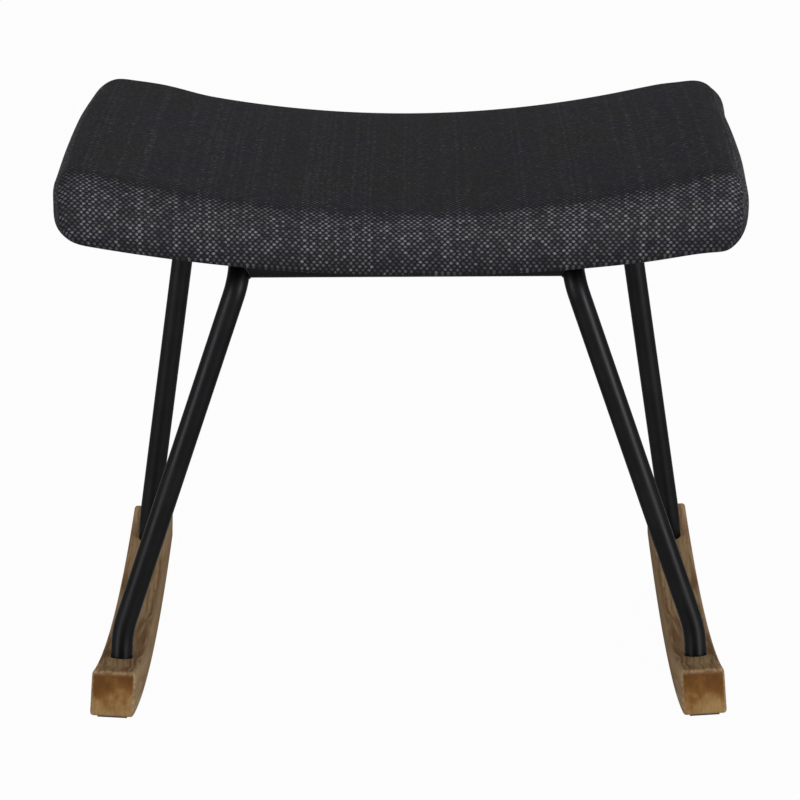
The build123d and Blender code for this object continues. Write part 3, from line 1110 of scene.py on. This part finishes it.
    def settled(self, verts: np.ndarray) -> np.ndarray:
        """Lean and bow the stuffed cover as a used seat is, and pull at its corners.

        Args:
            verts: The cover's points.

        Returns:
            The moved points.
        """
        x, y, z = verts.T
        over = np.clip(x / self.half_width, -1.0, 1.0)
        middle = (self.base_height + self.peak_height) / 2 + rise(self.lean_radius, x)
        upper = to_share((z - middle) / self.lean_run + 0.5)
        above = z - self.floor(x)
        front = to_share((-y - self.front_from) / self.edge_fade)
        lower_front = to_share((self.edge_height - above) / self.edge_fade) * front
        bow = self.end_push + self.end_bulge * (1.0 - (y / self.half_depth) ** 2)
        drop = self.edge_drop + self.middle_drop * (1.0 - over * over)
        near = to_share((np.abs(y) - self.half_depth + self.edge_run) / self.edge_run)
        under = to_share(1.0 - above / self.tuck_height)
        new_x = x + self.shift + np.sign(x) * bow * over ** self.end_power
        new_y = y - np.sign(y) * self.tuck * under ** 2 * near
        new_z = z + over * self.lean * upper + (over * self.edge_lean - drop) * lower_front
        verts = np.stack([new_x, new_y, new_z], 1)
        for tug in self.tugs:
            verts = tug.moved(verts)
        return verts

    def cloth_coordinates(self, verts: np.ndarray, facing: np.ndarray) -> np.ndarray:
        """How far along and across the cloth each point of the cover lies.

        Args:
            verts: The cover's points.
            facing: Its normals.

        Returns:
            One row for each point: metres across, metres down, and how much of the pale floats shows under
                the painted shade.
        """
        x, y, z = verts.T
        drop = self.peak_height + self.row_curve * rise(self.top_radius, x) - z
        forward = np.clip(y / (self.half_depth - self.edge_run), -1.0, 1.0)
        on_end = to_share((np.abs(facing[:, 0]) - np.abs(facing[:, 1]) - self.end_from) / self.end_run)
        fall = np.maximum(0.0, self.peak_height + rise(self.top_radius, self.half_width) - z)
        across = x + np.sign(x) * fall * on_end
        down = y + drop * forward * (1.0 - on_end) + self.row_tilt * np.sign(-y) * x
        return np.stack([across, down, self.pale_share_with_painted_shade(z - self.floor(x), facing[:, 2])], 1)

    def pale_share_with_painted_shade(self, height: np.ndarray, upward: np.ndarray) -> np.ndarray:
        """How much of the pale floats shows: painted shade dims them near the underside, on the top and on
        the rounded edge round the top.

        Args:
            height: Height of each point above the pad's underside.
            upward: How far its normal points up.

        Returns:
            A share for each point.
        """
        # Painted shade: the cloth is darker near the underside, on the top and on the rounded edge, where
        # less light falls
        hem = smooth_step(height, self.hem_height, 0.0)
        top = smooth_step(upward, *self.top_facing)
        rim = smooth_step(upward, *self.rim_rise) * smooth_step(upward, *self.rim_fall)
        return self.pale - self.hem_shade * hem - self.top_shade * top - self.rim_shade * rim

    def build(self, wardrobe: Wardrobe) -> None:
        """Make the stuffed cover and seat it on the board.

        Args:
            wardrobe: Where the finishes come from.
        """
        pad = make_object("seat_cushion", *self.base_mesh())
        self.swell(pad)
        set_positions(pad, self.settled(positions(pad)))
        apply_modifier(pad, "SUBSURF", levels=1, render_levels=1)
        # The third value of the cloth attribute is the painted shade
        store_vectors(pad, "cloth", self.cloth_coordinates(positions(pad), normals(pad)))
        wardrobe.place_piece(pad, Finish.SEAT_FABRIC)
        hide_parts("seat_cover", "seat_foam")


@dataclass
class DustCover:
    """Black lining stapled under the seat, with a round opening for each spacer."""

    half_width: float
    half_depth: float
    underside: float
    corner: float = 0.017
    curve_radius: float = 1.6
    thickness: float = 0.0007
    grid: float = 0.005
    spacer_radius: float = 0.0113
    spacer_play: float = 0.0003
    spacer_nodes: tuple[str, ...] = ("front_seat_spacers", "rear_seat_spacers")
    cut_inside: float = 0.5
    drawn_outside: float = 0.45
    sag: float = 0.0007
    sag_from: Span = (0.02, 0.07)
    sag_mean: float = 0.55
    wave_x: Span = (37.0, 1.3)
    wave_y: Span = (41.0, 0.4)

    @classmethod
    def on_frame(cls) -> "DustCover":
        """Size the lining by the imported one."""
        low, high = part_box("dust_cover")
        return cls(half_width=high.x, half_depth=high.y, underside=low.z)

    def spacers(self) -> list[Span]:
        """Find the middle of each spacer seen from below.

        Returns:
            The x and y of each.
        """
        found = []
        for node in self.spacer_nodes:
            low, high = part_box(node)
            reach = high.x - self.spacer_radius + self.spacer_play
            found += [(side * reach, (low.y + high.y) / 2) for side in (-1.0, 1.0)]
        return found

    def rounded(self, places: np.ndarray) -> np.ndarray:
        """Draw the grid's corners in to the lining's round corners.

        Args:
            places: A row with the x of every point, and a row with its y.

        Returns:
            The same rows of the moved points.
        """
        half = np.array([[self.half_width], [self.half_depth]])
        over = np.maximum(0.0, np.abs(places) - (half - self.corner)) / self.corner
        shrink = np.sqrt(1.0 - over[::-1] ** 2 / 2.0)
        return np.sign(places) * (np.abs(places) - over * self.corner * (1.0 - shrink))

    def hang(self, x: np.ndarray, y: np.ndarray) -> np.ndarray:
        """How far the lining sags: nothing at its stapled edge, a little and unevenly inside.

        Args:
            x: Points across.
            y: Points along.

        Returns:
            The sag at each.
        """
        inward = np.minimum(self.half_width - np.abs(x), self.half_depth - np.abs(y))
        (pace_x, start_x), (pace_y, start_y) = self.wave_x, self.wave_y
        wave = np.sin(x * pace_x + start_x) * np.sin(y * pace_y + start_y)
        share = self.sag_mean + (1.0 - self.sag_mean) * wave
        return self.sag * smooth_step(inward, *self.sag_from) * share

    def build(self, wardrobe: Wardrobe) -> None:
        """Make the lining and hold it under the board.

        Args:
            wardrobe: Where the finishes come from.
        """
        halves = (self.half_width, self.half_depth)
        steps = [np.linspace(-half, half, 2 * round(half / self.grid) + 1) for half in halves]
        grid = np.array(np.meshgrid(*steps))
        number = np.arange(grid[0].size).reshape(grid[0].shape)
        x, y = self.rounded(grid.reshape(2, -1))
        gone = np.zeros(number.size, bool)
        for cx, cy in self.spacers():
            away = np.hypot(x - cx, y - cy)
            inside = away < self.spacer_radius - self.grid * self.cut_inside
            near = ~inside & (away < self.spacer_radius + self.grid * self.drawn_outside)
            draw = self.spacer_radius / np.maximum(away, TINY)
            x = np.where(near, cx + (x - cx) * draw, x)
            y = np.where(near, cy + (y - cy) * draw, y)
            gone |= inside
        z = self.underside + rise(self.curve_radius, x) - self.hang(x, y) + self.thickness
        faces = quads(number)
        faces = faces[~gone[faces].any(axis=1)]
        lining = make_object("dust_cover_lining", np.stack([x, y, z], 1), faces)
        edit_mesh(lining, drop_loose)
        apply_modifier(lining, "SOLIDIFY", thickness=self.thickness, offset=1.0)
        wardrobe.place_piece(lining, Finish.LINING)
        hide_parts("dust_cover")


# Frame and rockers


@dataclass
class WeldBeads:
    """Rippled weld where each cross rail meets a side frame, under the powder coat."""

    rail_radius: float = 0.0095
    bead_radius: float = 0.0013
    ripple: float = 0.00025
    ripples: int = 26
    around: int = 104
    section: int = 10

    def build(self, frame_nodes: dict[str, bpy.types.Object], wardrobe: Wardrobe) -> None:
        """Make the four beads.

        Args:
            frame_nodes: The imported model's pieces by name.
            wardrobe: Where the finishes come from.
        """
        for end in ("front", "rear"):
            low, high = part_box(end + "_cross_rail")
            middle = (low + high) / 2
            for side, way in (("left", -1.0), ("right", 1.0)):
                ring = self.seam(frame_nodes[side + "_side_frame"], middle, way)
                bead = make_object(f"{end}_{side}_weld", *self.bead(ring, middle))
                edit_mesh(bead, face_outwards)
                wardrobe.place_piece(bead, Finish.BLACK_STEEL)

    def seam(self, tube: bpy.types.Object, middle: Vector, way: float) -> np.ndarray:
        """Follow the line on which a cross rail's skin meets a side frame.

        Args:
            tube: The side frame.
            middle: Middle of the cross rail.
            way: -1 towards the left end of the rail, 1 towards the right.

        Returns:
            One row of x, y, z for each step round the rail.
        """
        turns = np.arange(self.around) * FULL_TURN / self.around
        ring = np.stack([np.full(self.around, np.nan), middle.y + self.rail_radius * np.cos(turns),
                         middle.z + self.rail_radius * np.sin(turns)], 1)
        for row in ring:
            hit, point, _, _ = tube.ray_cast(Vector((0.0, row[1], row[2])), Vector((way, 0.0, 0.0)))
            if hit:
                row[0] = point.x
        met = ~np.isnan(ring[:, 0])
        ring[:, 0] = np.interp(turns, turns[met], ring[met, 0], period=FULL_TURN)
        return ring

    def bead(self, ring: np.ndarray, middle: Vector) -> tuple[np.ndarray, np.ndarray]:
        """Run a rippled round bead along a closed seam.

        Args:
            ring: Points of the seam.
            middle: Middle of the cross rail.

        Returns:
            The bead's points and faces.
        """
        forward = np.roll(ring, -1, 0) - np.roll(ring, 1, 0)
        forward /= np.linalg.norm(forward, axis=1)[:, None]
        out = (ring - np.array(middle)) * (0.0, 1.0, 1.0)
        out /= np.linalg.norm(out, axis=1)[:, None]
        side = np.cross(forward, out)
        wave = np.abs(np.sin(math.pi * self.ripples * np.arange(self.around) / self.around))
        radius = self.bead_radius + self.ripple * (wave - 0.5)
        turn = (FULL_TURN * np.arange(self.section) / self.section)[:, None]
        spokes = np.cos(turn) * out[:, None] + np.sin(turn) * side[:, None]
        verts = ring[:, None] + radius[:, None, None] * spokes
        number = np.arange(self.around * self.section).reshape(self.around, self.section)
        return verts.reshape(-1, 3), quads(np.pad(number, (0, 1), mode="wrap"))


@dataclass
class FrameAndRockers:
    """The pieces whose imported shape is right, by the finish that they wear."""

    pieces: dict[Finish, tuple[str, ...]] = field(default_factory=lambda: {
        Finish.PLYWOOD: ("seat_board",),
        Finish.ZINC_STEEL: ("cover_staples", "tee_nuts", "leg_inserts", "rocker_washers"),
        Finish.BLACK_FASTENER: ("seat_bolts", "rocker_bolts"),
        Finish.BLACK_PLASTIC: ("saddle_washers", "front_seat_spacers", "rear_seat_spacers"),
        Finish.BLACK_STEEL: ("left_side_frame", "right_side_frame", "front_cross_rail", "rear_cross_rail"),
        Finish.ROCKER_WOOD: ("left_rocker", "right_rocker"),
        Finish.GLIDE_STRIP: ("left_glide_strip", "right_glide_strip"),
    })

    def dress(self, frame_nodes: dict[str, bpy.types.Object], wardrobe: Wardrobe) -> None:
        """Put each piece's finish on it.

        Args:
            frame_nodes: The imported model's pieces by name.
            wardrobe: Where the finishes come from.
        """
        for finish, names in self.pieces.items():
            for name in names:
                wardrobe.dress(frame_nodes[name], finish)


# Studio


@dataclass(frozen=True)
class Softbox:
    """A square studio light."""

    name: str
    place: Point
    size: float
    power: float
    aim: Point = (0.0, 0.0, 0.28)

    def build(self) -> None:
        """Hang the light and turn it to its aim."""
        light = bpy.data.lights.new(self.name, "AREA")
        configure(light, shape="SQUARE", size=self.size, energy=self.power)
        obj = put_in_scene(self.name, light)
        obj.location = self.place
        obj.rotation_euler = (Vector(self.aim) - Vector(self.place)).to_track_quat("-Z", "Y").to_euler()
        log.info("%s light: %g W", self.name, self.power)


@dataclass(frozen=True)
class Studio:
    """Pale floor, white surroundings and soft light from the camera's side."""

    floor_size: float = 12.0
    floor_tone: Colour = (0.62, 0.62, 0.62)
    ambient: float = 0.3
    white_share: float = 0.97
    lights: tuple[Softbox, ...] = (
        Softbox("key", (1.95, -1.95, 0.5), 0.65, 47.0),
        Softbox("fill", (-2.05, -1.8, 0.5), 0.75, 29.0),
        Softbox("top", (0.0, -0.3, 2.6), 1.6, 14.0),
    )

    def build(self) -> None:
        """Set up the floor, the surroundings and the lights."""
        bpy.context.scene.view_settings.view_transform = "Standard"
        corners = np.array([(-1, -1, 0), (1, -1, 0), (1, 1, 0), (-1, 1, 0)]) * self.floor_size / 2
        floor = make_object("floor", corners, np.array([[0, 1, 2, 3]]))
        floor.data.materials.append(self.floor_material())
        self.surroundings()
        for light in self.lights:
            light.build()

    @staticmethod
    def seen_directly(g: Graph) -> Field:
        """1 for rays from the camera or a mirror or through glass, else 0.

        Args:
            g: The node tree that asks.

        Returns:
            The field.
        """
        path = g.node("ShaderNodeLightPath")
        names = ("Is Camera Ray", "Is Glossy Ray", "Is Transmission Ray")
        camera, glossy, through = (Field(g, path.outputs[name]) for name in names)
        return camera.most(glossy).most(through)

    def floor_material(self) -> bpy.types.Material:
        """Pale floor that looks white to the camera and still takes shadows.

        Returns:
            The material.
        """
        g = Graph("pale floor")
        matt = g.node("ShaderNodeBsdfDiffuse", {"Color": self.floor_tone})
        white = g.node("ShaderNodeEmission", {"Color": WHITE})
        share = self.seen_directly(g) * self.white_share
        both = {0: share, 1: matt.outputs[0], 2: white.outputs[0]}
        return g.close(g.node("ShaderNodeMixShader", both))

    def surroundings(self) -> None:
        """White all round for the camera, and a soft grey light for the object."""
        world = bpy.data.worlds.new("studio")
        bpy.context.scene.world = world
        g = Graph("studio", world)
        strength = self.seen_directly(g) * (1.0 - self.ambient) + self.ambient
        back = g.node("ShaderNodeBackground", {"Color": WHITE, "Strength": strength})
        g.close(back, "ShaderNodeOutputWorld")


@dataclass(frozen=True)
class PhotoCamera:
    """Camera standing in front of the stool and looking down at it a little."""

    place: Point = (0.015894, -2.698302, 1.130655)
    pitch: float = 0.318558
    yaw: float = -0.008471
    roll: float = -0.007286
    focal_pixels: float = 3169.76
    frame_pixels: float = 800.0
    sensor: float = 36.0
    far: float = 50.0

    def build(self) -> None:
        """Set the camera up and make it the scene's own."""
        ahead = Vector((math.sin(self.yaw) * math.cos(self.pitch),
                        math.cos(self.yaw) * math.cos(self.pitch), -math.sin(self.pitch)))
        level = Vector((math.cos(self.yaw), -math.sin(self.yaw), 0.0))
        upright = level.cross(ahead)
        right = math.cos(self.roll) * level + math.sin(self.roll) * upright
        up = math.cos(self.roll) * upright - math.sin(self.roll) * level
        lens = self.sensor * self.focal_pixels / self.frame_pixels
        data = bpy.data.cameras.new("camera")
        configure(data, sensor_width=self.sensor, lens=lens, clip_end=self.far)
        camera = put_in_scene("camera", data)
        turn = Matrix((right, up, -ahead)).transposed().to_4x4()
        camera.matrix_world = Matrix.Translation(self.place) @ turn
        bpy.context.scene.camera = camera
        log.info("camera: %.1f mm lens", lens)


def main() -> None:
    """Build the stool's looks piece by piece, then its studio and camera."""
    wardrobe = Wardrobe()
    nodes = frame["nodes"]
    SeatPad.on_frame().build(wardrobe)
    DustCover.on_frame().build(wardrobe)
    FrameAndRockers().dress(nodes, wardrobe)
    WeldBeads().build(nodes, wardrobe)
    Studio().build()
    PhotoCamera().build()


if __name__ == "__main__":
    logging.basicConfig(level=logging.INFO, format="%(name)s: %(message)s")
    main()
